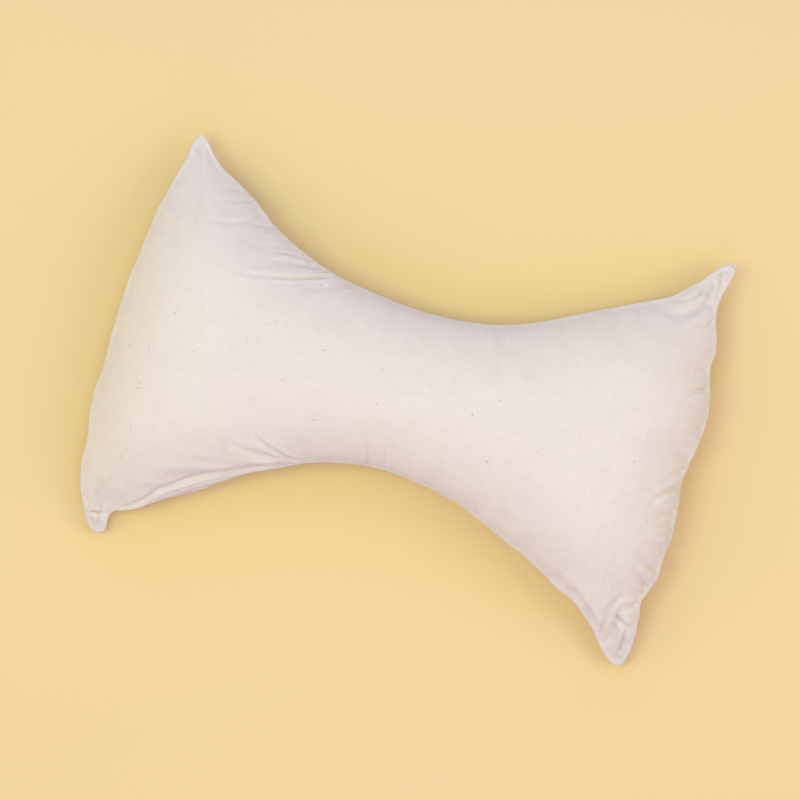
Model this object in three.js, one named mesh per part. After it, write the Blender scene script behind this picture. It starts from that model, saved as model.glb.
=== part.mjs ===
import * as THREE from 'three';

// A bow-tie neck pillow: an upper and an under panel of cotton, sewn together round their edge, turned
// right side out, stuffed and sewn shut. It lies on its back, its four corners left as thin empty ears.
// Sizes are in millimetres. X runs along the pillow, Y across it, and Z up from the surface it lies on.

// Driving sizes
const SEAM_PITCH = 7.5; // between points along the seam
const STITCH_PITCH = 2; // between the finer points that depths are measured from
const UPPER_INSETS = [3, 7.5, 13.5, 21]; // rings of points that follow the seam, this far in from it
const UPPER_PITCH = 9; // between the points of the upper skin inside those rings
const UNDER_INSETS = [3.5, 9.5, 19];
const UNDER_PITCH = 15; // most of the under skin is flat
const SEAM_CLEARANCE = 0.92; // how near the seam a ring's point may come, as a share of the ring's inset
const RING_CLEARANCE = 0.75; // how near other points it may come, as a share of the gap between rings
const ROW_CLEARANCE = 0.7; // the same for the points in rows, as a share of their pitch
const CROWN_RISE = 77; // from the seam up to a fully stuffed crown
const CROWN_REACH = 44; // how far in from the seam the upper skin takes to rise most of the way
const UNDER_DROP = 62; // from the seam down to the belly, if nothing held it up
const UNDER_REACH = 30; // the same reach for the under skin
const BELLY_ROUNDING = 0.12; // how gently the under skin meets the surface, as a share of its drop
const EMPTY_EAR = 0.22; // the share of the rise that is left in the tips of the ears
const FAR_OUTSIDE = 100000; // a triangle this big holds every point of a panel

// The seam, anticlockwise from the tip of the left far ear, seen from above: a row for each bend of its
// two long drawn-in sides, its two bowed ends and its four ears. lift is the height above the surface.
const LEFT_END = [
  { x: -271.5, y: 211.0, lift: 27 },
  { x: -277.5, y: 205.5, lift: 28 },
  { x: -281.5, y: 185.0, lift: 31 },
  { x: -289.0, y: 155.0, lift: 36 },
  { x: -296.5, y: 126.0, lift: 38 },
  { x: -301.5, y: 88.0, lift: 40 },
  { x: -307.0, y: 48.0, lift: 41 },
  { x: -310.0, y: -8.0, lift: 42 },
  { x: -310.0, y: -44.0, lift: 41 },
  { x: -313.0, y: -83.0, lift: 40 },
  { x: -308.0, y: -121.0, lift: 38 },
  { x: -307.5, y: -154.0, lift: 33 },
  { x: -298.5, y: -187.0, lift: 22 },
  { x: -290.5, y: -204.5, lift: 13 },
  { x: -283.0, y: -214.0, lift: 9 },
];
const NEAR_SIDE = [
  { x: -276.5, y: -216.0, lift: 8 },
  { x: -269.0, y: -212.5, lift: 9 },
  { x: -268.0, y: -196.0, lift: 15 },
  { x: -264.0, y: -189.5, lift: 22 },
  { x: -252.0, y: -185.0, lift: 29 },
  { x: -236.0, y: -177.0, lift: 35 },
  { x: -215.0, y: -159.0, lift: 40 },
  { x: -178.5, y: -136.0, lift: 45 },
  { x: -144.0, y: -118.0, lift: 47 },
  { x: -112.0, y: -104.0, lift: 46 },
  { x: -79.0, y: -89.5, lift: 45 },
  { x: -42.0, y: -80.5, lift: 44 },
  { x: -9.0, y: -77.5, lift: 43 },
  { x: 31.0, y: -81.5, lift: 43 },
  { x: 77.0, y: -92.0, lift: 42 },
  { x: 125.0, y: -112.5, lift: 41 },
  { x: 174.0, y: -135.5, lift: 39 },
  { x: 197.0, y: -149.5, lift: 37 },
  { x: 222.0, y: -162.0, lift: 34 },
  { x: 243.0, y: -180.5, lift: 28 },
  { x: 256.0, y: -195.5, lift: 22 },
  { x: 266.0, y: -206.0, lift: 17 },
  { x: 275.5, y: -213.0, lift: 13 },
];
const RIGHT_END = [
  { x: 282.5, y: -215.0, lift: 12 },
  { x: 288.0, y: -210.5, lift: 14 },
  { x: 290.0, y: -199.0, lift: 18 },
  { x: 291.0, y: -180.0, lift: 25 },
  { x: 290.0, y: -158.0, lift: 31 },
  { x: 287.5, y: -142.5, lift: 35 },
  { x: 292.0, y: -132.0, lift: 37 },
  { x: 297.5, y: -112.0, lift: 39 },
  { x: 297.5, y: -98.0, lift: 40 },
  { x: 301.0, y: -76.0, lift: 41 },
  { x: 299.5, y: -39.0, lift: 42 },
  { x: 297.0, y: -17.0, lift: 42 },
  { x: 301.0, y: 14.0, lift: 42 },
  { x: 305.5, y: 44.0, lift: 41 },
  { x: 305.5, y: 66.0, lift: 41 },
  { x: 301.0, y: 88.0, lift: 40 },
  { x: 296.0, y: 109.0, lift: 39 },
  { x: 297.5, y: 123.0, lift: 38 },
  { x: 294.5, y: 140.0, lift: 37 },
  { x: 290.0, y: 156.0, lift: 35 },
  { x: 288.5, y: 170.0, lift: 33 },
  { x: 290.5, y: 186.0, lift: 30 },
  { x: 296.0, y: 203.5, lift: 27 },
];
const FAR_SIDE = [
  { x: 298.0, y: 212.5, lift: 25 },
  { x: 291.0, y: 217.5, lift: 25 },
  { x: 283.5, y: 214.0, lift: 26 },
  { x: 266.0, y: 195.0, lift: 29 },
  { x: 249.0, y: 179.0, lift: 32 },
  { x: 237.0, y: 169.5, lift: 34 },
  { x: 218.0, y: 160.0, lift: 37 },
  { x: 170.0, y: 137.5, lift: 40 },
  { x: 108.0, y: 108.0, lift: 42 },
  { x: 68.0, y: 95.5, lift: 43 },
  { x: 9.0, y: 90.0, lift: 43 },
  { x: -60.0, y: 96.5, lift: 43 },
  { x: -109.0, y: 107.0, lift: 42 },
  { x: -145.0, y: 121.5, lift: 41 },
  { x: -176.0, y: 138.5, lift: 40 },
  { x: -199.0, y: 156.5, lift: 39 },
  { x: -221.0, y: 170.5, lift: 37 },
  { x: -243.0, y: 183.0, lift: 34 },
  { x: -254.5, y: 193.5, lift: 31 },
  { x: -264.0, y: 205.0, lift: 28 },
];

// The tips of the four ears, each empty this far from its tip and fully stuffed from this far on.
const EARS = [
  { x: -270, y: 208, empty: 12, stuffed: 155 },
  { x: -276, y: -210, empty: 12, stuffed: 145 },
  { x: 280, y: -208, empty: 18, stuffed: 155 },
  { x: 288, y: 214, empty: 24, stuffed: 155 },
];

// Folds pressed into the upper skin, each a soft trough that is deepest at x, y by the seam and has died
// out at toX, toY. width is from its middle to its shoulder.
const FOLDS = [
  { x: -190, y: 148, toX: -236, toY: 124, width: 6, depth: 3 },
  { x: -165, y: 132, toX: -212, toY: 122, width: 6, depth: 3.5 },
  { x: -128, y: 112, toX: -178, toY: 106, width: 6, depth: 3.5 },
  { x: -106, y: 104, toX: -186, toY: 80, width: 6, depth: 4.5 },
  { x: -84, y: -84, toX: -146, toY: -66, width: 7, depth: 6 },
  { x: -92, y: -90, toX: -206, toY: -108, width: 9, depth: 5 },
  { x: -120, y: -106, toX: -246, toY: -150, width: 10, depth: 7 },
  { x: -16, y: -72, toX: -50, toY: -40, width: 7, depth: 4 },
  { x: 276, y: 170, toX: 226, toY: 146, width: 8, depth: 6 },
  { x: 286, y: 152, toX: 262, toY: 126, width: 7, depth: 4 },
  { x: 293, y: 108, toX: 262, toY: 96, width: 7, depth: 4 },
  { x: 295, y: -18, toX: 262, toY: -30, width: 8, depth: 5 },
  { x: 288, y: -134, toX: 262, toY: -112, width: 8, depth: 6 },
  { x: 268, y: -186, toX: 256, toY: -124, width: 8, depth: 8 },
  { x: 246, y: -180, toX: 214, toY: -136, width: 8, depth: 5 },
  { x: -288, y: -192, toX: -262, toY: -152, width: 8, depth: 4 },
];
const FOLD_START = 10; // folds reach their depth this far in from the seam
const DEEPEST_FOLD = 0.6; // the share of the skin's rise that folds may take at most

// Along this stretch the seam is rolled up onto the near left wing, so that the under skin shows past it.
const ROLLED_SEAM = { x: -188, y: -144, halfLength: 66, outX: 0.47, outY: -0.88, reach: 21, depth: 20 };

// The seam as a closed line, in points for the mesh and in finer stitches, with the middle of its box.
function sewSeam() {
  const rows = [...LEFT_END, ...NEAR_SIDE, ...RIGHT_END, ...FAR_SIDE];
  const bends = rows.map(({ x, y, lift }) => new THREE.Vector3(x, y, lift));
  const curve = new THREE.CatmullRomCurve3(bends, true, 'centripetal');
  const spaced = (pitch) => curve.getSpacedPoints(Math.round(curve.getLength() / pitch)).slice(0, -1);
  const points = spaced(SEAM_PITCH);
  const stitches = spaced(STITCH_PITCH);
  const middle = new THREE.Box3().setFromPoints(points).getCenter(new THREE.Vector3());
  return { points, stitches, middle };
}

// How far apart two points are, seen from above.
const planDistance = (a, b) => Math.hypot(a.x - b.x, a.y - b.y);

// True where x, y lies inside the closed line.
function isInside(line, x, y) {
  let inside = false;
  line.forEach((a, i) => {
    const b = line[(i + 1) % line.length];
    if (a.y > y !== b.y > y && x < a.x + ((y - a.y) * (b.x - a.x)) / (b.y - a.y)) inside = !inside;
  });
  return inside;
}

// How deep inside the seam p lies, and the height of the seam round it. Every stitch counts by the fourth
// power of its nearness, so both change smoothly where two sides of the seam are equally near. Beside a
// long straight seam the sum is pi / (2 pitch depth^3), which gives the depth back.
function depthAndLift(stitches, p) {
  let closeness = 0;
  let liftSum = 0;
  for (const stitch of stitches) {
    const nearness = 1 / planDistance(stitch, p) ** 4;
    closeness += nearness;
    liftSum += nearness * stitch.z;
  }
  return { depth: Math.cbrt(Math.PI / (2 * STITCH_PITCH * closeness)), lift: liftSum / closeness };
}

// Points in rings that follow the seam, then in staggered rows over what is left inside them. A point that
// would crowd the seam or the points before it is left out, as it is in the ears where two rings meet.
function spreadPoints(seam, insets, pitch) {
  const found = [];
  const addIfClear = (x, y, seamClearance, clearance) => {
    const p = new THREE.Vector3(x, y, 0);
    const crowded = (distance) => (other) => planDistance(other, p) < distance;
    if (seam.some(crowded(seamClearance)) || found.some(crowded(clearance))) return;
    if (isInside(seam, x, y)) found.push(p);
  };
  insets.forEach((inset, ring) => {
    const gap = inset - (insets[ring - 1] ?? 0);
    seam.forEach((p, i) => {
      const ahead = seam[(i + 1) % seam.length];
      const behind = seam[(i + seam.length - 1) % seam.length];
      const staggered = ring % 2 === 0;
      const from = staggered ? p.clone().lerp(ahead, 0.5) : p;
      const along = ahead.clone().sub(staggered ? p : behind).setZ(0).normalize();
      const x = from.x - along.y * inset;
      const y = from.y + along.x * inset;
      addIfClear(x, y, SEAM_CLEARANCE * inset, RING_CLEARANCE * gap);
    });
  });
  const box = new THREE.Box3().setFromPoints(seam);
  const rowStep = pitch * Math.sin(Math.PI / 3);
  for (let y = box.min.y, row = 0; y < box.max.y; y += rowStep, row++) {
    const start = box.min.x + (row % 2) * 0.5 * pitch;
    for (let x = start; x < box.max.x; x += pitch) addIfClear(x, y, insets.at(-1), ROW_CLEARANCE * pitch);
  }
  return found;
}

// A triangle of point numbers with the circle through its corners.
function withCircle(points, corners) {
  const [a, b, c] = corners.map((i) => points[i]);
  const d = 2 * (a.x * (b.y - c.y) + b.x * (c.y - a.y) + c.x * (a.y - b.y));
  const [aa, bb, cc] = [a, b, c].map((p) => p.x * p.x + p.y * p.y);
  const x = (aa * (b.y - c.y) + bb * (c.y - a.y) + cc * (a.y - b.y)) / d;
  const y = (aa * (c.x - b.x) + bb * (a.x - c.x) + cc * (b.x - a.x)) / d;
  return { corners, x, y, radius: Math.hypot(a.x - x, a.y - y) };
}

// Joins points into triangles, seen anticlockwise from above, none of whose circles holds another point.
// Each point in turn replaces the triangles whose circles hold it by a fan round their rim.
function triangulate(points) {
  const around = [[-1, -1], [1, -1], [0, 1]];
  const outer = around.map(([x, y]) => new THREE.Vector3(x, y, 0).multiplyScalar(FAR_OUTSIDE));
  const all = [...points, ...outer];
  const count = points.length;
  let triangles = [withCircle(all, [count, count + 1, count + 2])];
  points.forEach((p, i) => {
    const rim = new Map();
    const kept = [];
    for (const t of triangles) {
      if (Math.hypot(p.x - t.x, p.y - t.y) >= t.radius) {
        kept.push(t);
        continue;
      }
      t.corners.forEach((a, k) => {
        const b = t.corners[(k + 1) % 3];
        if (!rim.delete(`${b},${a}`)) rim.set(`${a},${b}`, [a, b]);
      });
    }
    for (const [a, b] of rim.values()) kept.push(withCircle(all, [a, b, i]));
    triangles = kept;
  });
  return triangles.map((t) => t.corners).filter((corners) => corners.every((i) => i < count));
}

// One panel of cloth: the seam's points first, then points inside it, joined into triangles. A side of a
// triangle that crosses an ear from seam to seam gets a point in its middle, so that the panels part there.
function cutPanel(seam, insets, pitch) {
  const points = [...seam, ...spreadPoints(seam, insets, pitch)];
  const last = seam.length - 1;
  for (;;) {
    const triangles = triangulate(points).filter((corners) => {
      const [a, b, c] = corners.map((i) => points[i]);
      return isInside(seam, (a.x + b.x + c.x) / 3, (a.y + b.y + c.y) / 3);
    });
    const middles = new Map();
    for (const corners of triangles) {
      corners.forEach((a, k) => {
        const b = corners[(k + 1) % 3];
        const [low, high] = [Math.min(a, b), Math.max(a, b)];
        const across = high <= last && high - low > 1 && high - low < last;
        if (across) middles.set(`${low},${high}`, points[a].clone().lerp(points[b], 0.5));
      });
    }
    if (!middles.size) return { points, triangles, seamCount: seam.length };
    points.push(...middles.values());
  }
}

// What share of its full rise the stuffing gives a skin at p, which is this deep inside the seam.
function stuffing(p, depth, reach) {
  let stuffed = 1;
  for (const ear of EARS) {
    const t = THREE.MathUtils.clamp((planDistance(ear, p) - ear.empty) / (ear.stuffed - ear.empty), 0, 1);
    stuffed *= t * (2 - t);
  }
  return THREE.MathUtils.lerp(EMPTY_EAR, 1, stuffed) * (1 - Math.exp(-depth / reach));
}

// How far the folds press the upper skin down at x, y.
function foldDepth(x, y) {
  let total = 0;
  for (const fold of FOLDS) {
    const alongX = fold.toX - fold.x;
    const alongY = fold.toY - fold.y;
    const share = ((x - fold.x) * alongX + (y - fold.y) * alongY) / (alongX ** 2 + alongY ** 2);
    const t = THREE.MathUtils.clamp(share, 0, 1);
    const away = Math.hypot(x - fold.x - t * alongX, y - fold.y - t * alongY) / fold.width;
    total += fold.depth * (1 - t * t) * Math.exp(-away * away);
  }
  return total;
}

// The skin above the seam's level, stuffed up and creased by the folds.
function raiseUpper(seam, stitches) {
  const panel = cutPanel(seam, UPPER_INSETS, UPPER_PITCH);
  panel.points = panel.points.map((p, i) => {
    if (i < panel.seamCount) return p;
    const { depth, lift } = depthAndLift(stitches, p);
    const rise = CROWN_RISE * stuffing(p, depth, CROWN_REACH);
    const fold = Math.min(foldDepth(p.x, p.y) * Math.min(1, depth / FOLD_START), DEEPEST_FOLD * rise);
    return new THREE.Vector3(p.x, p.y, lift + rise - fold);
  });
  return panel;
}

// The skin below the seam, flat where it meets the surface, and swollen outwards along the rolled seam.
function dropUnder(seam, stitches) {
  const panel = cutPanel(seam, UNDER_INSETS, UNDER_PITCH);
  const roll = ROLLED_SEAM;
  panel.points = panel.points.map((p, i) => {
    if (i < panel.seamCount) return p;
    const { depth, lift } = depthAndLift(stitches, p);
    const away = planDistance(roll, p) / roll.halfLength;
    const inward = depth / roll.depth;
    const swell = roll.reach * inward * Math.exp(1 - inward - away ** 2);
    const drop = UNDER_DROP * stuffing(p, depth, UNDER_REACH);
    const gap = Math.max(0, lift - drop);
    const z = gap ** 2 / (gap + BELLY_ROUNDING * drop);
    return new THREE.Vector3(p.x + swell * roll.outX, p.y + swell * roll.outY, z);
  });
  return panel;
}

// One closed skin of the two panels, joined where they share the seam's points.
function joinPanels(upper, under, middle) {
  const shift = upper.points.length - upper.seamCount;
  const points = [...upper.points, ...under.points.slice(under.seamCount)];
  const position = points.flatMap((p) => [p.x - middle.x, p.y - middle.y, p.z]);
  const renumber = (i) => (i < under.seamCount ? i : i + shift);
  const facingDown = under.triangles.map(([a, b, c]) => [a, c, b].map(renumber));
  const geometry = new THREE.BufferGeometry();
  geometry.setAttribute('position', new THREE.Float32BufferAttribute(position, 3));
  geometry.setIndex([...upper.triangles, ...facingDown].flat());
  geometry.computeVertexNormals();
  return geometry;
}

const unbleachedCotton = new THREE.MeshStandardMaterial({ color: 0xeee4da, roughness: 0.92, metalness: 0 });

const { points: seam, stitches, middle } = sewSeam();
const skin = joinPanels(raiseUpper(seam, stitches), dropUnder(seam, stitches), middle);
const pillow = new THREE.Mesh(skin, unbleachedCotton);
pillow.name = 'pillow';

const part = new THREE.Group();
part.add(pillow);

export default part;
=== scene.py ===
"""A bow-tie neck pillow of unbleached cotton, lying on its back on a pale studio floor, seen from above."""

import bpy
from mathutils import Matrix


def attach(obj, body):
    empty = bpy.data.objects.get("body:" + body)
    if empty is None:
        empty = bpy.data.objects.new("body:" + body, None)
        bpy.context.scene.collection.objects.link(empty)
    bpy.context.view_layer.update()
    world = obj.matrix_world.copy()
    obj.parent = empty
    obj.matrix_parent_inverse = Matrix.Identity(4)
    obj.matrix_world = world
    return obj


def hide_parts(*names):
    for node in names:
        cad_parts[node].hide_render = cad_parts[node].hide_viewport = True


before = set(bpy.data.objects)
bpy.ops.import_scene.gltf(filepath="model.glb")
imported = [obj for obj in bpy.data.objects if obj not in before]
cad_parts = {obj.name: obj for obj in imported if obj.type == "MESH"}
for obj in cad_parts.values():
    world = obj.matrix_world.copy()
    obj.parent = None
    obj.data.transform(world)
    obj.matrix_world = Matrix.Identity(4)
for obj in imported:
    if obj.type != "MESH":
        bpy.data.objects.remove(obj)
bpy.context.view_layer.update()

import math
import random
from collections import namedtuple

import bmesh
import bpy
import numpy as np
from mathutils import Vector, geometry, kdtree, noise

MM = 0.001

# The seam, anticlockwise from the tip of the left far ear, as the pattern's bends: x and y along and across
# the pillow and lift above the floor, in millimetres. The whole is centred over the origin afterwards.
LEFT_END = [
    (-271.5, 211.0, 27), (-277.5, 205.5, 28), (-281.5, 185.0, 31), (-289.0, 155.0, 36),
    (-296.5, 126.0, 38), (-301.5, 88.0, 40), (-307.0, 48.0, 41), (-310.0, -8.0, 42),
    (-310.0, -44.0, 41), (-313.0, -83.0, 40), (-308.0, -121.0, 38), (-307.5, -154.0, 33),
    (-298.5, -187.0, 22), (-290.5, -204.5, 13), (-283.0, -214.0, 9),
]
NEAR_SIDE = [
    (-276.5, -216.0, 8), (-269.0, -212.5, 9), (-268.0, -196.0, 15), (-264.0, -189.5, 22),
    (-252.0, -185.0, 29), (-236.0, -177.0, 35), (-215.0, -159.0, 40), (-178.5, -136.0, 45),
    (-144.0, -118.0, 47), (-112.0, -104.0, 46), (-79.0, -89.5, 45), (-42.0, -80.5, 44),
    (-9.0, -77.5, 43), (31.0, -81.5, 43), (77.0, -92.0, 42), (125.0, -112.5, 41),
    (174.0, -135.5, 39), (197.0, -149.5, 37), (222.0, -162.0, 34), (243.0, -180.5, 28),
    (256.0, -195.5, 22), (266.0, -206.0, 17), (275.5, -213.0, 13),
]
RIGHT_END = [
    (282.5, -215.0, 12), (288.0, -210.5, 14), (290.0, -199.0, 18), (291.0, -180.0, 25),
    (290.0, -158.0, 31), (287.5, -142.5, 35), (292.0, -132.0, 37), (297.5, -112.0, 39),
    (297.5, -98.0, 40), (301.0, -76.0, 41), (299.5, -39.0, 42), (297.0, -17.0, 42),
    (301.0, 14.0, 42), (305.5, 44.0, 41), (305.5, 66.0, 41), (301.0, 88.0, 40),
    (296.0, 109.0, 39), (297.5, 123.0, 38), (294.5, 140.0, 37), (290.0, 156.0, 35),
    (288.5, 170.0, 33), (290.5, 186.0, 30), (296.0, 203.5, 27),
]
FAR_SIDE = [
    (298.0, 212.5, 25), (291.0, 217.5, 25), (283.5, 214.0, 26), (266.0, 195.0, 29),
    (249.0, 179.0, 32), (237.0, 169.5, 34), (218.0, 160.0, 37), (170.0, 137.5, 40),
    (108.0, 108.0, 42), (68.0, 95.5, 43), (9.0, 90.0, 43), (-60.0, 96.5, 43),
    (-109.0, 107.0, 42), (-145.0, 121.5, 41), (-176.0, 138.5, 40), (-199.0, 156.5, 39),
    (-221.0, 170.5, 37), (-243.0, 183.0, 34), (-254.5, 193.5, 31), (-264.0, 205.0, 28),
]

# How the stuffing fills the cover, in metres: the upper panel's rise and the under panel's drop, and how far
# in from the seam each comes about. The belly rounds off where it meets the floor.
CROWN_RISE = 0.077
CROWN_REACH = 0.044
UNDER_DROP = 0.062
UNDER_REACH = 0.030
BELLY_ROUNDING = 0.12
# Each ear is empty near its tip, down to this share of the stuffing, and is stuffed further away.
EMPTY_EAR = 0.22
Ear = namedtuple("Ear", "x y empty stuffed")
EARS = [
    Ear(-0.270, 0.208, 0.012, 0.155),
    Ear(-0.276, -0.210, 0.012, 0.145),
    Ear(0.280, -0.208, 0.018, 0.155),
    Ear(0.288, 0.214, 0.024, 0.155),
]

# The stretch where the seam is rolled up onto the near left wing and the under panel shows past it.
ROLL_PLACE = (-0.188, -0.144)
ROLL_HALF_LENGTH = 0.066
ROLL_OUT = np.array([0.47, -0.88])
ROLL_REACH = 0.021
ROLL_DEPTH = 0.020

# Creases in the upper cloth, in the seam's millimetres: each starts at x, y by the seam and dies out at
# to_x, to_y, bowed sideways by bow. width is from its bottom to its shoulder and depth how deep it is.
Fold = namedtuple("Fold", "x y to_x to_y bow width depth")
FOLDS = [
    # Across the left wing, from the far side's stitches
    Fold(-214, 166, -240, 157, -2, 3.0, 1.1),
    Fold(-202, 159, -240, 148, 2, 2.5, 1.1),
    Fold(-187, 147, -238, 125, 5, 2.8, 1.6),
    Fold(-169, 135, -203, 131, -2, 2.4, 2.8),
    Fold(-160, 129, -196, 121, 2, 2.6, 0.7),
    Fold(-148, 121, -208, 114, 3, 6.5, 1.4),
    Fold(-132, 112, -174, 108, -3, 2.4, 3.0),
    Fold(-124, 107, -172, 99, -2, 4.2, 2.4),
    Fold(-101, 103, -194, 81, 3, 2.4, 3.9),
    Fold(-84, 99, -140, 78, 2, 4.5, 1.1),
    # Along the rolled seam
    Fold(-88, -89, -144, -73, 5, 2.4, 3.6),
    Fold(-95, -90, -172, -88, 4, 3.2, 2.4),
    Fold(-103, -96, -202, -117, 3, 3.4, 2.2),
    Fold(-112, -102, -232, -146, 3, 6.0, 6.0),
    Fold(-140, -116, -246, -162, 2, 3.5, 3.1),
    Fold(-19, -76, -28, -48, 2, 3.0, 1.8),
    Fold(-2, -76, -6, -56, 1, 3.0, 1.1),
    # The right far ear
    Fold(276, 174, 236, 150, 5, 6.0, 4.5),
    Fold(268, 186, 246, 164, 3, 3.5, 2.1),
    Fold(285, 208, 284, 180, 2, 3.0, 3.1),
    Fold(292, 206, 289, 172, -2, 2.6, 2.2),
    Fold(279, 196, 283, 164, -3, 2.8, 2.5),
    # The right end's puckers
    Fold(292, 160, 270, 146, 2, 3.0, 3.1),
    Fold(298, 128, 276, 122, 1, 3.0, 2.2),
    Fold(298, 110, 278, 103, 2, 3.0, 3.2),
    Fold(302, 88, 282, 76, -2, 3.2, 3.0),
    Fold(304, 40, 284, 36, 1, 3.2, 2.2),
    Fold(301, 4, 280, -8, 2, 3.2, 2.6),
    Fold(299, -16, 266, -46, -4, 3.2, 4.6),
    Fold(300, -40, 276, -53, 2, 3.2, 2.1),
    Fold(300, -66, 284, -72, 1, 3.0, 2.2),
    Fold(299, -84, 276, -80, 1, 3.6, 1.5),
    Fold(297, -108, 272, -96, 2, 3.6, 3.4),
    Fold(291, -132, 268, -116, -3, 4.5, 5.0),
    Fold(288, -143, 266, -154, 2, 3.5, 4.2),
    # The right near ear's gathers
    Fold(262, -204, 266, -138, 9, 3.4, 5.2),
    Fold(250, -188, 236, -152, 3, 3.2, 3.2),
    Fold(258, -198, 250, -158, 4, 2.6, 2.0),
    Fold(276, -208, 273, -166, -6, 2.6, 3.0),
    Fold(282, -204, 286, -160, 3, 2.6, 2.6),
    Fold(266, -162, 287, -172, -3, 2.8, 3.4),
    Fold(250, -180, 184, -134, -4, 5.0, 3.6),
    # The left ears
    Fold(-292, -197, -258, -187, -3, 2.8, 3.4),
    Fold(-277, -208, -272, -172, 2, 2.8, 1.7),
    Fold(-284, -206, -284, -168, -2, 2.6, 1.4),
    Fold(-274, 200, -256, 158, 3, 3.5, 1.4),
    Fold(-270, 204, -268, 164, 2, 3.0, 1.3),
    Fold(-290, 148, -272, 138, 1, 3.0, 1.1),
]

# How each crease runs. At the seam its width is a share of that at its end, and its strength starts from a
# share, is full soon after and dies out by a power of what is left. Its raised shoulders' height is a share
# of its depth, and their place and width are in the crease's own widths.
CREASE_START_WIDTH = 0.55
CREASE_START_STRENGTH = 0.6
CREASE_COMES_IN = 0.1
CREASE_DYING_POWER = 0.7
SHOULDER_HEIGHT = 0.5
SHOULDER_PLACE = 2.1
SHOULDER_WIDTH = 1.0
# No crease cuts the lip: each comes in from this many lip widths, over this distance and this height.
CREASE_START_LIPS = 0.6
CREASE_START_REACH = 0.005
CREASE_START_HEIGHT = 0.004

# Small puckers that the stitches draw into the cloth beside the seam: how long each wave is, how far in it
# reaches and how high it is, then the share of its reach over which it comes in. At some places, in the
# seam's millimetres, the cloth is gathered more, and along the rolled seam less.
Pucker = namedtuple("Pucker", "wave reach height")
PUCKERS = [Pucker(0.009, 0.007, 0.0005), Pucker(0.020, 0.016, 0.0017), Pucker(0.042, 0.030, 0.0026)]
PUCKER_START = 0.35
Gather = namedtuple("Gather", "x y radius more")
GATHERS = [
    Gather(298, -70, 95, 1.1),
    Gather(298, 110, 80, 0.6),
    Gather(-150, 120, 70, 0.7),
    Gather(-186, -146, 75, -0.75),
    Gather(262, -170, 45, 0.8),
]

# The rolled seam on the near left wing: a rounded rim with a crease above it, in metres. The bulge's place
# and spread are shares of the rim's width.
RIM_PLACE = (-0.186, -0.146)
RIM_HALF_LENGTH = 0.092
RIM_FULLNESS = 1.2
RIM_WIDTH = 0.0068
RIM_LEAST_WIDTH = 0.001
RIM_BULGE = 0.0015
RIM_BULGE_PLACE = 0.5
RIM_BULGE_SPREAD = 0.4
RIM_CREASE_WIDTH = 0.0020
RIM_CREASE_DEPTH = 0.0042

# The seam's own slight waves: how long, how high and how far out. They die out over the reach, step out in
# full only past the seam's very edge, and fade in with height above the floor.
SEAM_WAVES = [(0.034, 0.0016, 0.0008), (0.014, 0.0007, 0.0005)]
SEAM_WAVE_REACH = 0.007
SEAM_EDGE = 0.0004
SEAM_WAVE_FLOOR = 0.001
SEAM_WAVE_FADE = 0.010

# The seam allowance turned inside lifts the cloth beside the seam, with a dip past it: place, width, height.
ALLOWANCE = [(0.0016, 0.0010, 0.00045), (0.0050, 0.0024, -0.00040)]

# The tightly stuffed neck roll rounds out steeply from its seam: by how much, how steeply, how far in from
# the seam it dies out again, and how far along the pillow it runs each way.
NECK_BULGE = 0.0052
NECK_WALL = 0.006
NECK_REACH = 0.060
NECK_LENGTH = 0.15

# Soft dents in the stuffing: wave and height. They fade out beside the seam and near the floor.
DENTS = [(0.085, 0.0011), (0.032, 0.00045), (0.013, 0.00012)]
DENT_MARGIN = 0.03
DENT_FADE = 0.012

# Thread ends at the right far ear's tip, between two of the seam's points in millimetres, then in metres.
# Each leans to a side and rises or sinks by a share of its length, and thins towards its end.
FRAYED_EDGE = [(284.0, 214.0, 25.5), (296.0, 214.6, 25.0)]
FRAY_OUTWARD = np.array([0.25, 0.97, 0.0])
FRAY_ACROSS = np.array([0.97, -0.25, 0.0])
FRAY_COUNT = 16
FRAY_THICKNESS = 0.0005
FRAY_SUNK = 0.003
FRAY_LENGTHS = (0.007, 0.0125)
FRAY_LEANS = (-0.75, 0.55)
FRAY_CURLS = (-0.5, 0.5)
FRAY_RISES = (-0.25, 0.35)
FRAY_THINNING = 0.45
FRAY_POINTS = 5
FRAY_SEED = 7
CAP_WELD = 1e-6

# The mesh: its pitches along the seam, of the stitches that shape the cloth, and on both panels. The panels
# have their full pitch in the close work, which is beside the seam and along the upper panel's folds to a
# little past their ends. No inside point is nearer the lip than a share of the pitch, and points this near
# each other are one. Distances to the stitches are worked out for so many points at a time.
SEAM_PITCH = 0.0038
STITCH_PITCH = 0.002
UPPER_PITCH = 0.0035
UNDER_PITCH = 0.0052
CLOSE_WORK = 0.040
UNDER_CLOSE_WORK = 0.022
FOLD_CLOSE_WORK = 0.010
FOLD_CLOSE_RUN = 1.1
LEAST_SPACING = 0.6
SAME_POINT = 1e-7
POINTS_AT_A_TIME = 1500
LIP_WIDTH = 0.0014
LIP_HALF_THICKNESS = 0.0006
UNDER_PATTERN_SHIFT = np.array([0.0, 1.0])

# The cloth's settling. It is held by the lip, on the floor and in the slack ears, and comes free over a step.
# A little spare cloth lies beside the seam, at this place and over this width.
CLOTH = {
    "quality": 6,
    "mass": 0.05,
    "tension_stiffness": 15,
    "compression_stiffness": 5,
    "shear_stiffness": 3,
    "bending_stiffness": 0.01,
    "use_pressure": True,
    "uniform_pressure_force": 15,
    "shrink_min": 0,
    "shrink_max": -0.12,
}
CLOTH_STEPS = 20
MOST_MOVE = 0.008
HELD_LIPS = 1.2
HELD_STEP = 0.004
HELD_ON_FLOOR = 0.0005
SLACK_SHARE = 0.3
SLACK_STEP = 0.15
SPARE_PLACE = 0.012
SPARE_WIDTH = 0.022

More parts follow.
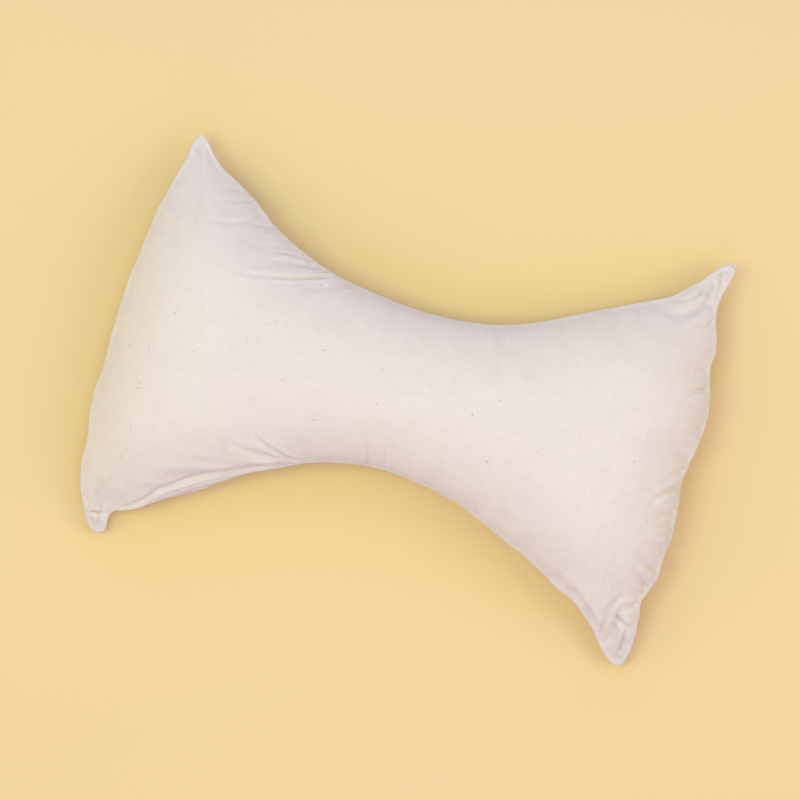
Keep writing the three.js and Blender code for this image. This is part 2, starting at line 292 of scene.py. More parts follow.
# The photograph: straight down, 824 mm across the picture at the seam's height, turned by 14.5 degrees.
PHOTO_MIDDLE = np.array([-5.5, -3.5]) * MM
PHOTO_WIDTH = 0.824
PHOTO_TURN = math.radians(14.5)
SEAM_HEIGHT = 0.040
CAMERA_DISTANCE = 3.2
SENSOR_WIDTH = 36.0

# The cotton: its colours as linear light, its threads, how strongly each darker shade tells (one of them is
# shade painted into the gaps between the threads), its finish, and its relief in metres. A scale is a noise's
# waves to a metre, and a range is where the noise comes in.
CREAM = (0.84, 0.775, 0.672, 1)
CREAM_PINK = (0.84, 0.76, 0.667, 1)
# The darker threads' colour, which is also the shade painted into the gaps between the threads.
DARK_THREAD_AND_GAP_SHADE = (0.62, 0.55, 0.46, 1)
THREAD_PITCH = 0.0006
THREAD_WANDER = 1.6
WANDER_SCALE = 220.0
THREAD_DIP = 0.45
GAP_HEIGHT = 0.42
SLUB_STRETCHES = [(30.0, 900.0, 1.0), (1100.0, 26.0, 1.0)]
SLUB_RANGE = (0.62, 0.74)
SLUB_HEIGHT = 0.8
CLOUD_SCALE = 9.0
CLOUD_RANGE = (0.3, 0.7)
MOTTLE_SCALE = 85.0
MOTTLE_RANGE = (0.5, 0.75)
MOTTLE_STRENGTH = 0.07
TONE_STRENGTH = 0.16
# How strongly shade is painted into the gaps between the threads.
PAINTED_GAP_SHADE = 0.22
FLECK_STRENGTH = 0.42
SHEEN = 0.12
GLOSS = 0.25
COTTON_ROUGHNESS = 0.86
ROUGHNESS_SPREAD = 0.08
CRUMPLE_SCALE = 60.0
CRUMPLE_STRENGTH = 0.35
CRUMPLE_DEPTH = 0.0012
WEAVE_STRENGTH = 0.7
WEAVE_DEPTH = 0.00022
LOOSE_THREAD_ROUGHNESS = 0.9
TWIST_SCALE = 2500.0
TWIST_RANGE = (0.35, 0.65)

# The seed flecks. Each one's radius is at least this share of its kind's, and its edge fades over a range.
LEAST_FLECK = 0.4
FLECK_EDGE = (1.15, 0.55)
Fleck = namedtuple("Fleck", "spacing radius share stretch colour")
FLECKS = [
    Fleck(0.045, 0.0009, 0.6, (1.0, 1.0, 1.0), (0.26, 0.19, 0.12, 1)),
    Fleck(0.060, 0.0007, 0.45, (0.4, 1.1, 1.0), (0.33, 0.24, 0.14, 1)),
    Fleck(0.014, 0.00045, 0.4, (1.0, 0.7, 1.0), (0.42, 0.33, 0.22, 1)),
]

# The studio: a pale floor, and lamps by name, place, size, power and colour, all aimed at one point.
FLOOR_COLOUR = (0.78, 0.60, 0.28, 1)
FLOOR_ROUGHNESS = 0.9
FLOOR_HALF_SIDE = 4.0
LAMP_AIM = (0, 0, 0.05)
LAMPS = [
    ("overhead", (0, 0, 2.6), 1.4, 10.0, (0.88, 1.0, 0.32)),
    ("key", (-1.0, -0.25, 2.2), 1.0, 16.4, (0.84, 1.0, 0.52)),
    ("far_fill", (-0.33, 1.26, 1.1), 1.2, 12.4, (0.36, 0.44, 1.0)),
    ("near_fill", (0.33, -1.26, 1.1), 1.2, 10.8, (0.58, 0.46, 1.0)),
    ("right_fill", (1.3, 0.33, 1.1), 1.2, 11.0, (1.0, 0.90, 0.72)),
    ("warm_left", (-2.0, -0.45, 1.25), 1.2, 14.0, (1.0, 0.78, 0.54)),
]
SURROUND = (0.757, 0.706, 1.0, 1)
SURROUND_STRENGTH = 0.395


def placed(name, data):
    """A new object in the scene."""
    made = bpy.data.objects.new(name, data)
    bpy.context.scene.collection.objects.link(made)
    return made


def sewn_line(rows, steps=16):
    """The closed centripetal curve through the rows, in metres, as a fine line of points."""
    p1 = np.array(rows) * MM
    p0, p2, p3 = np.roll(p1, 1, 0), np.roll(p1, -1, 0), np.roll(p1, -2, 0)
    d0, d1, d2 = (np.sqrt(np.linalg.norm(b - a, axis=1))[:, None] for a, b in ((p0, p1), (p1, p2), (p2, p3)))
    m1 = d1 * ((p1 - p0) / d0 - (p2 - p0) / (d0 + d1) + (p2 - p1) / d1)
    m2 = d1 * ((p2 - p1) / d1 - (p3 - p1) / (d1 + d2) + (p3 - p2) / d2)
    t = (np.arange(steps) / steps)[None, :, None]
    parts = (
        (2 * t**3 - 3 * t**2 + 1) * p1[:, None],
        (t**3 - 2 * t**2 + t) * m1[:, None],
        (3 * t**2 - 2 * t**3) * p2[:, None],
        (t**3 - t**2) * m2[:, None],
    )
    return sum(parts).reshape(-1, 3)


def spaced(line, pitch):
    """Evenly spaced points along a closed line."""
    closed = np.vstack([line, line[:1]])
    along = np.concatenate([[0], np.cumsum(np.linalg.norm(np.diff(closed, axis=0), axis=1))])
    places = np.arange(round(along[-1] / pitch)) * (along[-1] / round(along[-1] / pitch))
    return np.column_stack([np.interp(places, along, closed[:, k]) for k in range(3)])


line = sewn_line(LEFT_END + NEAR_SIDE + RIGHT_END + FAR_SIDE)
middle = (line.min(0) + line.max(0)) / 2 * (1, 1, 0)
seam = spaced(line - middle, SEAM_PITCH)
stitches = spaced(line - middle, STITCH_PITCH)


def is_inside(points, outline):
    """Which points lie inside the closed outline, seen from above, by counting its edges to one side."""
    inside = np.zeros(len(points), dtype=bool)
    x, y = points[:, 0], points[:, 1]
    for a, b in zip(outline, np.roll(outline, -1, 0)):
        if a[1] != b[1]:
            spans = (a[1] > y) != (b[1] > y)
            inside ^= spans & (x < a[0] + (y - a[1]) * (b[0] - a[0]) / (b[1] - a[1]))
    return inside


def near_stitches(points):
    """Each point's depth inside the seam and its foot on it, where each stitch counts by 1 / distance^4."""
    found = []
    for part in np.array_split(points[:, :2], len(points) // POINTS_AT_A_TIME + 1):
        away = np.linalg.norm(part[:, None] - stitches[None, :, :2], axis=2)
        nearness = 1 / np.maximum(away, 1e-5) ** 4
        total = nearness.sum(1)
        foot = nearness @ stitches / total[:, None]
        found.append(np.column_stack([np.cbrt(math.pi / (2 * STITCH_PITCH * total)), foot]))
    found = np.vstack(found)
    return found[:, 0], found[:, 1:]


def stuffed_share(points):
    """How full the cover is at each point, from the empty ears up to 1."""
    share = np.ones(len(points))
    for ear in EARS:
        away = np.linalg.norm(points[:, :2] + middle[:2] - (ear.x, ear.y), axis=1)
        t = np.clip((away - ear.empty) / (ear.stuffed - ear.empty), 0, 1)
        share *= t * (2 - t)
    return EMPTY_EAR + (1 - EMPTY_EAR) * share


def lip_height(depth):
    """Half the lip's thickness, rounded off at the seam."""
    return LIP_HALF_THICKNESS * np.clip(depth / (0.5 * LIP_WIDTH), 0, 1)


def inset_ring(distance):
    """The seam's points moved this far inwards."""
    ahead, behind = np.roll(seam, -1, 0), np.roll(seam, 1, 0)
    along = (ahead - behind)[:, :2]
    along /= np.linalg.norm(along, axis=1)[:, None]
    return seam[:, :2] + distance * np.column_stack([-along[:, 1], along[:, 0]])


def fold_places(flat, fold):
    """How far along a fold each point lies, from 0 at the seam to 1, and its millimetres to the side."""
    start, chord = np.array([fold.x, fold.y]), np.array([fold.to_x - fold.x, fold.to_y - fold.y])
    from_start = (flat + middle[:2]) / MM - start
    along = from_start @ chord / (chord @ chord)
    side = from_start @ np.array([-chord[1], chord[0]]) / np.linalg.norm(chord)
    t = np.clip(along, 0, 1)
    return along, side - fold.bow * 4 * t * (1 - t)


def cut_panel(pitch, close_work, folds):
    """A flat panel: two rings of points that make the seam's lip, then points spread over the inside.

    They are a pitch apart beside the seam and the folds, and two pitches apart elsewhere.
    """
    rings = [inset_ring(LIP_WIDTH * 0.5), inset_ring(LIP_WIDTH)]
    low, high = rings[1].min(0), rings[1].max(0)
    rows = []
    for row, y in enumerate(np.arange(low[1], high[1], pitch * math.sin(math.pi / 3))):
        x = np.arange(low[0] + (row % 2) * pitch / 2, high[0], pitch)
        wide = (row % 2 == 0) & ((np.arange(len(x)) + row // 2) % 2 == 0)
        rows.append(np.column_stack([x, np.full(len(x), y), wide]))
    spread = np.vstack(rows)
    spread = spread[is_inside(spread, rings[1])]
    depth, _ = near_stitches(spread)
    keep = (spread[:, 2] > 0) | (depth < close_work)
    for fold in folds:
        along, side = fold_places(spread[:, :2], fold)
        keep |= (along > 0) & (along < FOLD_CLOSE_RUN) & (np.abs(side) * MM < FOLD_CLOSE_WORK)
    n = len(seam)
    tree = kdtree.KDTree(n)
    for i, (x, y) in enumerate(rings[1]):
        tree.insert((x, y, 0), i)
    tree.balance()
    least = LEAST_SPACING * pitch
    spread = np.array([p[:2] for p in spread[keep] if tree.find((p[0], p[1], 0))[2] > least])
    coords = [Vector(p) for p in np.vstack([rings[1], spread])]
    loop = [(i, (i + 1) % n) for i in range(n)]
    made = geometry.delaunay_2d_cdt(coords, loop, [list(range(n))], 1, SAME_POINT)
    places = np.array([tuple(p) for p in made[0]])
    faces = [tuple(2 * n + i for i in face) for face in made[2]]
    for ring in range(2):
        for i in range(n):
            j = (i + 1) % n
            faces.append((ring * n + i, ring * n + j, (ring + 1) * n + j, (ring + 1) * n + i))
    return np.vstack([seam[:, :2], rings[0], places]), faces


def shape_upper(flat):
    """The upper panel's points, stuffed up to the crown."""
    depth, foot = near_stitches(flat)
    inside = np.maximum(0, depth - LIP_WIDTH)
    rise = CROWN_RISE * stuffed_share(flat) * (1 - np.exp(-inside / CROWN_REACH))
    return np.column_stack([flat, foot[:, 2] + lip_height(depth) + rise])


def shape_under(flat):
    """The under panel's points, flat on the floor and swollen out along the rolled seam."""
    depth, foot = near_stitches(flat)
    inside = np.maximum(0, depth - LIP_WIDTH)
    drop = UNDER_DROP * stuffed_share(flat) * (1 - np.exp(-inside / UNDER_REACH))
    gap = np.maximum(0, foot[:, 2] - lip_height(depth) - drop)
    z = gap**2 / np.maximum(gap + BELLY_ROUNDING * drop, 1e-6)
    away = np.linalg.norm(flat + middle[:2] - ROLL_PLACE, axis=1) / ROLL_HALF_LENGTH
    inward = depth / ROLL_DEPTH
    swell = ROLL_REACH * inward * np.exp(1 - inward - away**2)
    return np.column_stack([flat + swell[:, None] * ROLL_OUT, z])


def pattern_place(flat):
    """Where each point lies on the flat cut panel: the steep cloth near the seam is laid out past it."""
    depth, foot = near_stitches(flat)
    out = foot[:, :2] - flat
    out /= np.maximum(np.linalg.norm(out, axis=1), 1e-4)[:, None]
    return flat + out * (0.5 * CROWN_RISE * np.exp(-2 * depth / CROWN_REACH))[:, None]


def sew_cover():
    """The two panels joined along the seam's points, as one closed mesh, with a UV map of the pattern."""
    n = len(seam)
    flat, faces = cut_panel(UPPER_PITCH, CLOSE_WORK, FOLDS)
    under_flat, under_faces = cut_panel(UNDER_PITCH, UNDER_CLOSE_WORK, [])
    shift = len(flat) - n
    lower_faces = [tuple(i if i < n else i + shift for i in reversed(face)) for face in under_faces]
    points = np.vstack([seam, shape_upper(flat)[n:], shape_under(under_flat)[n:]])
    mesh = bpy.data.meshes.new("pillow_cover")
    mesh.from_pydata(points.tolist(), [], faces + lower_faces)
    mesh.update()
    place, under_place = pattern_place(flat), pattern_place(under_flat) + UNDER_PATTERN_SHIFT
    uv = mesh.uv_layers.new(name="cotton_pattern")
    corners = [place[i] for face in faces for i in face]
    corners += [under_place[i] for face in under_faces for i in reversed(face)]
    uv.data.foreach_set("uv", np.array(corners, dtype=np.float32).ravel())
    mesh.polygons.foreach_set("use_smooth", np.ones(len(mesh.polygons), dtype=bool))
    return placed("pillow_cover", mesh)


def read_points(mesh, attribute):
    """A mesh's places or normals at its points, as an array."""
    found = np.empty(len(mesh.vertices) * 3)
    mesh.vertices.foreach_get(attribute, found)
    return found.reshape(-1, 3)


def set_points(mesh, points):
    """Moves a mesh's points to these places, but none below the floor."""
    points[:, 2] = np.maximum(points[:, 2], 0)
    mesh.vertices.foreach_set("co", points.ravel())
    mesh.update()


def weight_group(cover, name, weights):
    """A vertex group with a weight for each point."""
    group = cover.vertex_groups.new(name=name)
    for i, weight in enumerate(weights):
        if weight > 0:
            group.add([i], float(weight), "REPLACE")


def settle_cloth(cover):
    """Lets the stuffing press the cloth out between its seams, with a little spare cloth gathered in."""
    start = read_points(cover.data, "co")
    depth, _ = near_stitches(start)
    depth[: len(seam)] = 0
    held = np.clip(1 - (depth - HELD_LIPS * LIP_WIDTH) / HELD_STEP, 0, 1)
    held[start[:, 2] < HELD_ON_FLOOR] = 1
    slack = np.clip(1 - (stuffed_share(start) - SLACK_SHARE) / SLACK_STEP, 0, 1)
    weight_group(cover, "held", np.maximum(held, slack))
    weight_group(cover, "gathered", np.exp(-((depth - SPARE_PLACE) / SPARE_WIDTH) ** 2) * (depth > 0))
    cloth = cover.modifiers.new("stuffing", "CLOTH")
    for setting, value in CLOTH.items():
        setattr(cloth.settings, setting, value)
    cloth.settings.effector_weights.gravity = 0
    cloth.settings.vertex_group_mass = "held"
    cloth.settings.vertex_group_shrink = "gathered"
    cloth.collision_settings.use_collision = False
    scene = bpy.context.scene
    for step in range(CLOTH_STEPS):
        scene.frame_set(step + 1)
    settled = cover.evaluated_get(bpy.context.evaluated_depsgraph_get())
    move = read_points(settled.data, "co") - start
    cover.modifiers.remove(cloth)
    cover.vertex_groups.clear()
    scene.frame_set(1)
    size = np.linalg.norm(move, axis=1)
    move *= (np.minimum(size, MOST_MOVE) / np.maximum(size, 1e-9))[:, None]
    set_points(cover.data, start + move)


def refine(cover):
    """One subdivision, applied."""
    finer = cover.modifiers.new("finer", "SUBSURF")
    finer.levels = finer.render_levels = 1
    finer.use_limit_surface = False
    fine = bpy.data.meshes.new_from_object(cover.evaluated_get(bpy.context.evaluated_depsgraph_get()))
    cover.modifiers.remove(finer)
    old = cover.data
    cover.data = fine
    bpy.data.meshes.remove(old)
    fine.name = "pillow_cover"


def press_cloth(cover, heights):
    """Moves each point along its normal."""
    points = read_points(cover.data, "co")
    points += read_points(cover.data, "normal") * heights[:, None]
    set_points(cover.data, points)


def waves(places, length):
    """Smooth noise of about -1 to 1 at each place, one wave in about each length."""
    return np.array([noise.noise(Vector(place)) for place in places / (0.5 * length)])


def gathered(points):
    """How much more the cloth is gathered at each point than elsewhere."""
    more = np.ones(len(points))
    for gather in GATHERS:
        away = np.linalg.norm((points + middle)[:, :2] / MM - (gather.x, gather.y), axis=1)
        more += gather.more * np.exp(-((away / gather.radius) ** 2))
    return more


def pucker_cloth(cover, depth, foot):
    """Draws small puckers in along the seam, rounds the neck roll out and dents the stuffing softly."""
    points = read_points(cover.data, "co")
    more = gathered(points)
    heights = np.zeros(len(points))
    for pucker in PUCKERS:
        inward = np.clip(depth / (PUCKER_START * pucker.reach), 0, 1) * np.exp(-depth / pucker.reach)
        heights += pucker.height * more * inward * waves(foot, pucker.wave)
    for place, width, height in ALLOWANCE:
        heights += height * np.exp(-(((depth - place) / width) ** 2))
    wall = 1 - np.exp(-np.maximum(0, depth - LIP_WIDTH) / NECK_WALL)
    reach = (depth / NECK_REACH) ** 2 + (points[:, 0] / NECK_LENGTH) ** 2
    heights += NECK_BULGE * wall * np.exp(-reach) * (points[:, 2] > foot[:, 2])
    share = np.clip(points[:, 2] / DENT_FADE, 0, 1) * np.clip(depth / DENT_MARGIN, 0, 1)
    for length, height in DENTS:
        heights += height * share * waves(points, length)
    press_cloth(cover, heights)


def wave_seam(cover, depth, foot):
    """Lets the seam and the cloth beside it rise, dip and step in and out a little."""
    points = read_points(cover.data, "co")
    away = np.hypot(*(foot - points)[:, :2].T)
    out = (foot - points)[:, :2] / np.maximum(away, SEAM_EDGE)[:, None]
    share = gathered(points) * np.exp(-depth / SEAM_WAVE_REACH)
    share *= np.clip((points[:, 2] - SEAM_WAVE_FLOOR) / SEAM_WAVE_FADE, 0, 1)
    for length, height, width in SEAM_WAVES:
        points[:, 2] += share * height * waves(foot, length)
        points[:, :2] += out * (share * width * waves(foot + 1.0, length))[:, None]
    set_points(cover.data, points)


def roll_rim(cover, depth, foot):
    """Rounds the rolled seam's rim and presses the crease above it."""
    points = read_points(cover.data, "co")
    away = np.linalg.norm((foot + middle)[:, :2] - RIM_PLACE, axis=1) / RIM_HALF_LENGTH
    share = np.clip(RIM_FULLNESS * (1 - away**2), 0, 1) * (points[:, 2] > foot[:, 2])
    width = np.maximum(RIM_WIDTH * share, RIM_LEAST_WIDTH)
    crease = np.exp(-(((depth - width) / RIM_CREASE_WIDTH) ** 2))
    bulge = np.exp(-(((depth - RIM_BULGE_PLACE * width) / (RIM_BULGE_SPREAD * width)) ** 2))
    press_cloth(cover, share * (RIM_BULGE * bulge - RIM_CREASE_DEPTH * crease))


def press_folds(cover, depth, foot):
    """Presses the creases that the photograph shows into the upper cloth, each with a raised shoulder."""
    points = read_points(cover.data, "co")
    sink = np.zeros(len(points))
    for fold in FOLDS:
        along, side = fold_places(points[:, :2], fold)
        t = np.clip(along, 0, 1)
        side /= fold.width * (CREASE_START_WIDTH + (1 - CREASE_START_WIDTH) * t)
        past = np.abs(along - t) * math.hypot(fold.to_x - fold.x, fold.to_y - fold.y) / fold.width
        strength = np.clip(along / CREASE_COMES_IN + CREASE_START_STRENGTH, 0, 1)
        strength *= (1 - t) ** CREASE_DYING_POWER * np.exp(-(past**2))
        valley = 1 / (1 + side**2) ** 1.5
        shoulder = SHOULDER_HEIGHT * np.exp(-((np.abs(side) - SHOULDER_PLACE) / SHOULDER_WIDTH) ** 2)
        sink += fold.depth * MM * strength * (valley - shoulder)
    upper = np.clip((points[:, 2] - foot[:, 2]) / CREASE_START_HEIGHT, 0, 1)
    inner = np.clip((depth - CREASE_START_LIPS * LIP_WIDTH) / CREASE_START_REACH, 0, 1)
    press_cloth(cover, -sink * upper * inner)


def wire(tree, value, socket):
    """Links a value's socket to an input, or sets the input to the value."""
    if isinstance(value, bpy.types.NodeSocket):
        tree.links.new(value, socket)
    else:
        socket.default_value = value


def calc(tree, operation, *values):
    """A Math node's result."""
    node = tree.nodes.new("ShaderNodeMath")
    node.operation = operation
    for socket, value in zip(node.inputs, values):
        wire(tree, value, socket)
    return node.outputs[0]


def texture(tree, kind, vector, dimensions="2D", **values):
    """A texture node with the values of its sockets."""
    node = tree.nodes.new(kind)
    setattr(node, "voronoi_dimensions" if kind.endswith("Voronoi") else "noise_dimensions", dimensions)
    wire(tree, vector, node.inputs["Vector"])
    for label, value in values.items():
        wire(tree, value, node.inputs[label.replace("_", " ")])
    return node


def scaled(tree, vector, factors):
    """A vector with each of its parts times a factor of its own."""
    node = tree.nodes.new("ShaderNodeVectorMath")
    node.operation = "MULTIPLY"
    wire(tree, vector, node.inputs[0])
    wire(tree, factors, node.inputs[1])
    return node.outputs[0]


def blended(tree, factor, a, b):
    """A colour between a and b."""
    node = tree.nodes.new("ShaderNodeMix")
    node.data_type = "RGBA"
    wire(tree, factor, node.inputs[0])
    wire(tree, a, node.inputs[6])
    wire(tree, b, node.inputs[7])
    return node.outputs[2]


def eased(tree, value, low, high, to_low=0.0, to_high=1.0):
    """A value's place between low and high, eased at both ends."""
    node = tree.nodes.new("ShaderNodeMapRange")
    node.interpolation_type = "SMOOTHSTEP"
    for label, number in (("From Min", low), ("From Max", high), ("To Min", to_low), ("To Max", to_high)):
        wire(tree, number, node.inputs[label])
    wire(tree, value, node.inputs["Value"])
    return node.outputs["Result"]


def bump(tree, height, strength, depth, under=None):
    """The normal that a height gives, over the normal of the relief under it."""
    node = tree.nodes.new("ShaderNodeBump")
    node.inputs["Strength"].default_value = strength
    node.inputs["Distance"].default_value = depth
    wire(tree, height, node.inputs["Height"])
    if under is not None:
        wire(tree, under, node.inputs["Normal"])
    return node.outputs["Normal"]


def new_group(name, inputs, outputs):
    """An empty node group with named inputs (name, kind, default) and outputs (name, kind)."""
    group = bpy.data.node_groups.new(name, "ShaderNodeTree")
    for label, kind, default in inputs:
        socket = group.interface.new_socket(label, in_out="INPUT", socket_type=kind)
        if default is not None:
            socket.default_value = default
    for label, kind in outputs:
        group.interface.new_socket(label, in_out="OUTPUT", socket_type=kind)
    return group, group.nodes.new("NodeGroupInput").outputs, group.nodes.new("NodeGroupOutput").inputs


def place_group(tree, group, **values):
    """A group's node in a material, with the values of its inputs."""
    node = tree.nodes.new("ShaderNodeGroup")
    node.node_tree = group
    for label, value in values.items():
        wire(tree, value, node.inputs[label.replace("_", " ")])
    return node.outputs


def plain_weave_group():
    """Threads that pass over and under each other in turn, on the cloth's own pattern."""
    inputs = [("Pattern", "NodeSocketVector", None), ("Thread Pitch", "NodeSocketFloat", THREAD_PITCH)]
    outputs = [(label, "NodeSocketFloat") for label in ("Height", "Gap Shade", "Thread Tone")]
    group, given, result = new_group("plain_weave", inputs, outputs)
    wander = texture(group, "ShaderNodeTexNoise", given["Pattern"], Scale=WANDER_SCALE, Detail=1.0)
    split = group.nodes.new("ShaderNodeSeparateXYZ")
    wire(group, given["Pattern"], split.inputs[0])
    shift = calc(group, "MULTIPLY", calc(group, "SUBTRACT", wander.outputs[0], 0.5), THREAD_WANDER)
    cell, rounds = [], []
    for axis in (0, 1):
        count = calc(group, "ADD", calc(group, "DIVIDE", split.outputs[axis], given["Thread Pitch"]), shift)
        cell.append(calc(group, "FLOOR", count))
        rounds.append(calc(group, "SINE", calc(group, "MULTIPLY", calc(group, "FRACT", count), math.pi)))
    parity = calc(group, "FLOORED_MODULO", calc(group, "ADD", *cell), 2.0)

    def over(across, along):
        """One thread's height: round across, and dipping between the threads that it crosses."""
        dip = calc(group, "MULTIPLY_ADD", along, THREAD_DIP, 1 - THREAD_DIP)
        return calc(group, "MULTIPLY", across, dip)

    warp, weft = over(rounds[0], rounds[1]), over(rounds[1], rounds[0])
    difference = calc(group, "SUBTRACT", warp, weft)
    height = calc(group, "MULTIPLY_ADD", difference, parity, weft)
    wire(group, height, result["Height"])
    # The gaps' mask, by which shade is painted between the threads.
    wire(group, eased(group, height, GAP_HEIGHT, 0.0), result["Gap Shade"])
    tones = []
    for value in cell:
        thread = group.nodes.new("ShaderNodeTexWhiteNoise")
        thread.noise_dimensions = "1D"
        wire(group, value, thread.inputs["W"])
        tones.append(thread.outputs["Value"])
    warp_tone = calc(group, "MULTIPLY", tones[0], parity)
    weft_tone = calc(group, "MULTIPLY", tones[1], calc(group, "SUBTRACT", 1.0, parity))
    wire(group, calc(group, "ADD", warp_tone, weft_tone), result["Thread Tone"])
    return group


def seed_fleck_group():
    """Scattered specks of cotton seed and leaf, each of its own size, in a share of evenly spread cells."""
    inputs = [
        ("Pattern", "NodeSocketVector", None),
        ("Spacing", "NodeSocketFloat", 0.04),
        ("Radius", "NodeSocketFloat", 0.0007),
        ("Share", "NodeSocketFloat", 0.5),
    ]
    group, given, result = new_group("seed_flecks", inputs, [("Mask", "NodeSocketFloat")])
    scale = calc(group, "DIVIDE", 1.0, given["Spacing"])
    cells = texture(group, "ShaderNodeTexVoronoi", given["Pattern"], Scale=scale)
    chance = group.nodes.new("ShaderNodeSeparateColor")
    wire(group, cells.outputs["Color"], chance.inputs[0])
    away = calc(group, "MULTIPLY", cells.outputs["Distance"], given["Spacing"])
    share_of_radius = calc(group, "ADD", chance.outputs["Green"], LEAST_FLECK)
    radius = calc(group, "MULTIPLY", given["Radius"], share_of_radius)
    spot = eased(group, calc(group, "DIVIDE", away, radius), *FLECK_EDGE)
    there = calc(group, "LESS_THAN", chance.outputs["Red"], given["Share"])
    wire(group, calc(group, "MULTIPLY", spot, there), result["Mask"])
    return group


def matte_cotton(name):
    """A new material with a faint sheen, its node tree and its shader."""
    material = bpy.data.materials.new(name)
    material.use_nodes = True
    shader = material.node_tree.nodes["Principled BSDF"]
    shader.inputs["Sheen Weight"].default_value = SHEEN
    shader.inputs["Specular IOR Level"].default_value = GLOSS
    return material, material.node_tree, shader


def unbleached_cotton(weave, flecks):
    """Matte cream cotton: uneven threads, slubs both ways, faint warm clouds and seed flecks."""
    material, tree, shader = matte_cotton("unbleached_cotton")
    uv_map = tree.nodes.new("ShaderNodeUVMap")
    uv_map.uv_map = "cotton_pattern"
    pattern = uv_map.outputs["UV"]

    threads = place_group(tree, weave, Pattern=pattern, Thread_Pitch=THREAD_PITCH)
    clouds = texture(tree, "ShaderNodeTexNoise", pattern, Scale=CLOUD_SCALE, Detail=3.0)
    colour = blended(tree, eased(tree, clouds.outputs[0], *CLOUD_RANGE), CREAM, CREAM_PINK)
    mottle = texture(tree, "ShaderNodeTexNoise", pattern, Scale=MOTTLE_SCALE, Detail=2.0)
    mottling = eased(tree, mottle.outputs[0], *MOTTLE_RANGE, 0.0, MOTTLE_STRENGTH)
    colour = blended(tree, mottling, colour, DARK_THREAD_AND_GAP_SHADE)
    slubs = []
    for stretch in SLUB_STRETCHES:
        streak = texture(tree, "ShaderNodeTexNoise", scaled(tree, pattern, stretch), Scale=1.0, Detail=2.0)
        slubs.append(eased(tree, streak.outputs[0], *SLUB_RANGE))
    slub = calc(tree, "MAXIMUM", *slubs)
    tone = calc(tree, "MULTIPLY_ADD", threads["Thread Tone"], 0.5, calc(tree, "MULTIPLY", slub, 0.5))
    colour = blended(tree, calc(tree, "MULTIPLY", tone, TONE_STRENGTH), colour, DARK_THREAD_AND_GAP_SHADE)
    # Painted shade: the gaps between the threads are darkened towards the darker threads' colour.
    colour = blended(tree, calc(tree, "MULTIPLY", threads["Gap Shade"], PAINTED_GAP_SHADE), colour, DARK_THREAD_AND_GAP_SHADE)
    for fleck in FLECKS:
        place = scaled(tree, pattern, fleck.stretch)
        values = {"Pattern": place, "Spacing": fleck.spacing, "Radius": fleck.radius, "Share": fleck.share}
        mask = place_group(tree, flecks, **values)["Mask"]
        colour = blended(tree, calc(tree, "MULTIPLY", mask, FLECK_STRENGTH), colour, fleck.colour)
    wire(tree, colour, shader.inputs["Base Color"])
    roughness = calc(tree, "MULTIPLY_ADD", tone, ROUGHNESS_SPREAD, COTTON_ROUGHNESS)
    wire(tree, roughness, shader.inputs["Roughness"])

    crumple = texture(tree, "ShaderNodeTexNoise", pattern, Scale=CRUMPLE_SCALE, Detail=3.0, Distortion=0.6)
    crumpled = bump(tree, crumple.outputs[0], CRUMPLE_STRENGTH, CRUMPLE_DEPTH)
    relief = calc(tree, "MULTIPLY_ADD", slub, SLUB_HEIGHT, threads["Height"])
    wire(tree, bump(tree, relief, WEAVE_STRENGTH, WEAVE_DEPTH, crumpled), shader.inputs["Normal"])
    return material


def fray_ear():
    """Loose thread ends at the right far ear's open tip, as thin tubes."""
    chance = random.Random(FRAY_SEED)
    tip_a, tip_b = (np.array(place) * MM - middle for place in FRAYED_EDGE)
    curve = bpy.data.curves.new("frayed_ends", "CURVE")
    curve.dimensions = "3D"
    curve.bevel_depth = FRAY_THICKNESS / 2
    curve.bevel_resolution = 1
    curve.use_fill_caps = True
    for k in range(FRAY_COUNT):
        root = tip_a + (tip_b - tip_a) * (k + chance.random()) / FRAY_COUNT - FRAY_OUTWARD * FRAY_SUNK
        length = chance.uniform(*FRAY_LENGTHS)
        lean = chance.uniform(*FRAY_LEANS)
        curl = chance.uniform(*FRAY_CURLS)
        rise = chance.uniform(*FRAY_RISES)
        spline = curve.splines.new("NURBS")
        spline.points.add(FRAY_POINTS - 1)
        spline.order_u = 4
        spline.use_endpoint_u = True
        for i, point in enumerate(spline.points):
            t = i / (FRAY_POINTS - 1)
            place = root + length * t * (FRAY_OUTWARD + FRAY_ACROSS * (lean * t + curl * t * t))
            place[2] += length * rise * t * t
            point.co = (*place, 1)
            point.radius = 1 - FRAY_THINNING * t
    tubes = placed("frayed_ends_curve", curve)
    bpy.context.view_layer.update()
    mesh = bpy.data.meshes.new_from_object(tubes.evaluated_get(bpy.context.evaluated_depsgraph_get()))
    bpy.data.objects.remove(tubes)
    closed = bmesh.new()
    closed.from_mesh(mesh)
    bmesh.ops.remove_doubles(closed, verts=closed.verts, dist=CAP_WELD)
    closed.to_mesh(mesh)
    closed.free()
    mesh.name = "frayed_ends"
    mesh.polygons.foreach_set("use_smooth", np.ones(len(mesh.polygons), dtype=bool))
    return placed("frayed_ends", mesh)


def loose_thread():
    """Cream cotton thread, faintly darker along its twist."""
    material, tree, shader = matte_cotton("loose_cotton_thread")
    shader.inputs["Roughness"].default_value = LOOSE_THREAD_ROUGHNESS
    place = tree.nodes.new("ShaderNodeTexCoord").outputs["Object"]
    twist = texture(tree, "ShaderNodeTexNoise", place, "3D", Scale=TWIST_SCALE, Detail=1.0)
    colour = blended(tree, eased(tree, twist.outputs[0], *TWIST_RANGE), DARK_THREAD_AND_GAP_SHADE, CREAM)
    wire(tree, colour, shader.inputs["Base Color"])
    return material


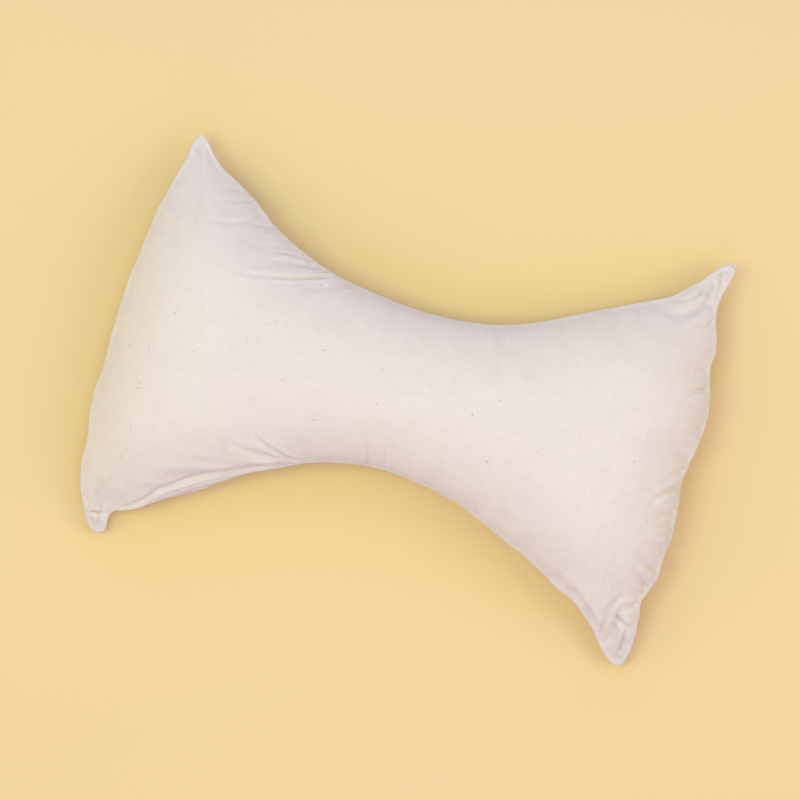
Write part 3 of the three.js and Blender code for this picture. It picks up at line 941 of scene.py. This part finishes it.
def area_light(name, place, size, power, colour):
    """A square soft light that faces the middle of the pillow."""
    light = bpy.data.lights.new(name, "AREA")
    light.size = size
    light.energy = power
    light.color = colour
    lamp = placed(name, light)
    lamp.location = place
    lamp.rotation_euler = (Vector(LAMP_AIM) - Vector(place)).to_track_quat("-Z", "Y").to_euler()


def light_studio():
    """Soft lamps from above and all round, brightest from the left, and a pale even surround."""
    for lamp in LAMPS:
        area_light(*lamp)
    world = bpy.data.worlds.new("studio")
    world.use_nodes = True
    background = world.node_tree.nodes["Background"]
    background.inputs["Color"].default_value = SURROUND
    background.inputs["Strength"].default_value = SURROUND_STRENGTH
    bpy.context.scene.world = world
    bpy.context.scene.view_settings.view_transform = "Standard"


def lay_floor():
    """A plain pale floor."""
    half = FLOOR_HALF_SIDE
    mesh = bpy.data.meshes.new("floor")
    corners = [(-half, -half, 0), (half, -half, 0), (half, half, 0), (-half, half, 0)]
    mesh.from_pydata(corners, [], [(0, 1, 2, 3)])
    material = bpy.data.materials.new("pale_floor")
    material.use_nodes = True
    shader = material.node_tree.nodes["Principled BSDF"]
    shader.inputs["Base Color"].default_value = FLOOR_COLOUR
    shader.inputs["Roughness"].default_value = FLOOR_ROUGHNESS
    mesh.materials.append(material)
    floor = placed("floor", mesh)


def aim_camera():
    """Looks straight down at the pillow, turned as the photograph is."""
    data = bpy.data.cameras.new("photograph")
    data.sensor_width = SENSOR_WIDTH
    data.lens = SENSOR_WIDTH * CAMERA_DISTANCE / PHOTO_WIDTH
    camera = placed("photograph", data)
    camera.location = (*(PHOTO_MIDDLE - middle[:2]), SEAM_HEIGHT + CAMERA_DISTANCE)
    camera.rotation_euler = (0, 0, PHOTO_TURN)
    bpy.context.scene.camera = camera


aim_camera()
light_studio()
lay_floor()

cover = sew_cover()
settle_cloth(cover)
refine(cover)
seam_places = near_stitches(read_points(cover.data, "co"))
pucker_cloth(cover, *seam_places)
wave_seam(cover, *seam_places)
roll_rim(cover, *seam_places)
press_folds(cover, *seam_places)
cover.data.materials.append(unbleached_cotton(plain_weave_group(), seed_fleck_group()))
ends = fray_ear()
ends.data.materials.append(loose_thread())
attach(ends, "root")
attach(cover, "root")
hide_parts("pillow")
